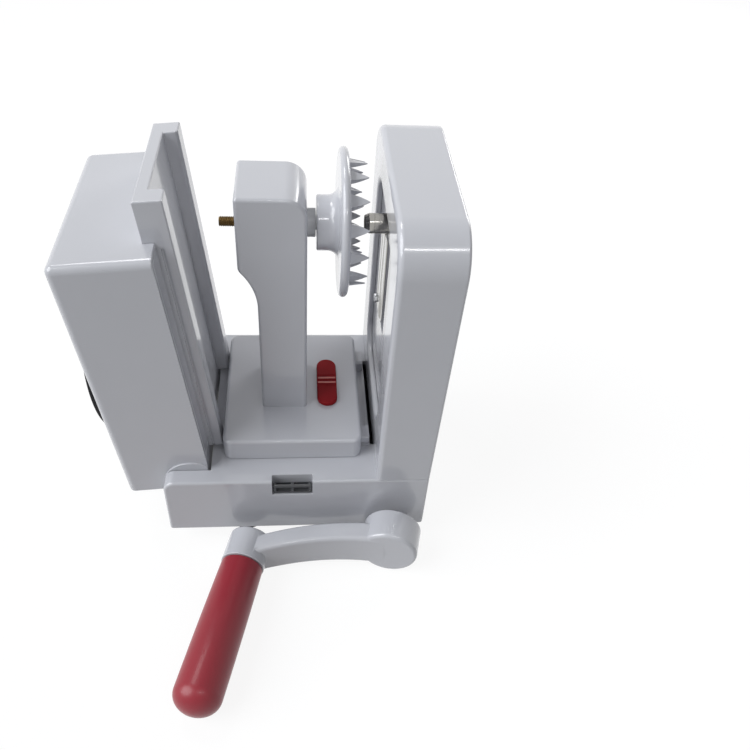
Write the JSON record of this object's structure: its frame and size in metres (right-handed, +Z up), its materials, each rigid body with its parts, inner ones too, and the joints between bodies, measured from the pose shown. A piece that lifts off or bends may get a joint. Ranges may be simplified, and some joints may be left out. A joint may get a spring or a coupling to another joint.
{
  "type": "folding hand spiralizer",
  "caption": "Folding hand-cranked spiralizer: spiked disc on a sliding column faces a blade in an upright housing; the track folds up and the crank lifts off.",
  "frame": {"origin": "on the table, under the middle of the base's footprint", "axes": "+X from the folding track to the blade housing, +Y away from the front, +Z up"},
  "size_m": [0.2086, 0.263, 0.2415],
  "materials": {
    "white_plastic": "cool white moulded plastic, glossy",
    "grey_plastic": "grey bearing plastic",
    "dark_plastic": "dark satin plastic",
    "black_rubber": "soft black rubber",
    "red_plastic": "red moulded plastic",
    "steel": "plain steel",
    "brass": "aged threaded brass",
    "polished_tube": "polished steel"
  },
  "bodies": {
    "base": {"base_shell": "white_plastic", "base_bottom_cover": "white_plastic", "base_feet": "black_rubber", "base_screws": "steel", "deck_rails": "white_plastic", "deck_rail_screws": "steel", "hinge_pins": "steel", "housing_shell": "white_plastic", "housing_cover": "white_plastic", "housing_screws": "steel", "housing_cover_screws": "steel"},
    "track": {"track_box": "white_plastic", "track_panel": "white_plastic", "rail_frame": "white_plastic", "rail_frame_screws": "steel", "suction_ring": "white_plastic", "suction_pad": "black_rubber"},
    "carriage": {"carriage_cover": "white_plastic", "carriage_sled": "grey_plastic", "carriage_screws": "steel", "column_front": "white_plastic", "column_rear": "white_plastic", "column_screws": "steel", "column_foot_screws": "steel", "bush_left": "grey_plastic", "bush_right": "grey_plastic"},
    "spindle": {"spindle_rod": "steel", "crank_stud": "brass", "spindle_clip": "steel", "spiked_disc": "white_plastic"},
    "lock": {"lock_slider": "red_plastic", "lock_tongue": "dark_plastic"},
    "catch": {"front_catch": "dark_plastic"},
    "blade_insert": {"blade_frame": "white_plastic", "blade": "steel", "core_tube": "polished_tube", "blade_screws": "steel"},
    "crank": {"crank_arm": "white_plastic", "crank_insert": "brass", "grip_pin": "steel"},
    "grip": {"crank_grip": "red_plastic"}
  },
  "joints": [
    {"name": "track_fold", "type": "hinge", "parent": "base", "child": "track", "pos_m": [-0.066, 0, 0.046], "axis": [0, -1, 0], "range_deg": [0, 84.6]},
    {"name": "carriage_slide", "type": "slide", "parent": "base", "child": "carriage", "axis": [1, 0, 0], "range_m": [0, 0.0075]},
    {"name": "spindle_spin", "type": "hinge", "parent": "carriage", "child": "spindle", "pos_m": [-0.03261, 0, 0.2], "axis": [1, 0, 0], "continuous": true},
    {"name": "lock_slide", "type": "slide", "parent": "carriage", "child": "lock", "axis": [0, 1, 0], "range_m": [-0.006, 0.006]},
    {"name": "catch_press", "type": "slide", "parent": "base", "child": "catch", "axis": [0, 1, 0], "range_m": [0, 0.002], "stiffness_N_per_m": 400},
    {"name": "blade_pull", "type": "slide", "parent": "base", "child": "blade_insert", "axis": [1, 0, 0], "range_m": [0, 0.06]},
    {"name": "crank_lift", "type": "slide", "parent": "base", "child": "crank", "axis": [0, 0, 1], "range_m": [0, 0.12]},
    {"name": "grip_spin", "type": "hinge", "parent": "crank", "child": "grip", "pos_m": [-0.0349, -0.10087, 0.014], "axis": [-0.2419, -0.9703, 0], "continuous": true}
  ]
}
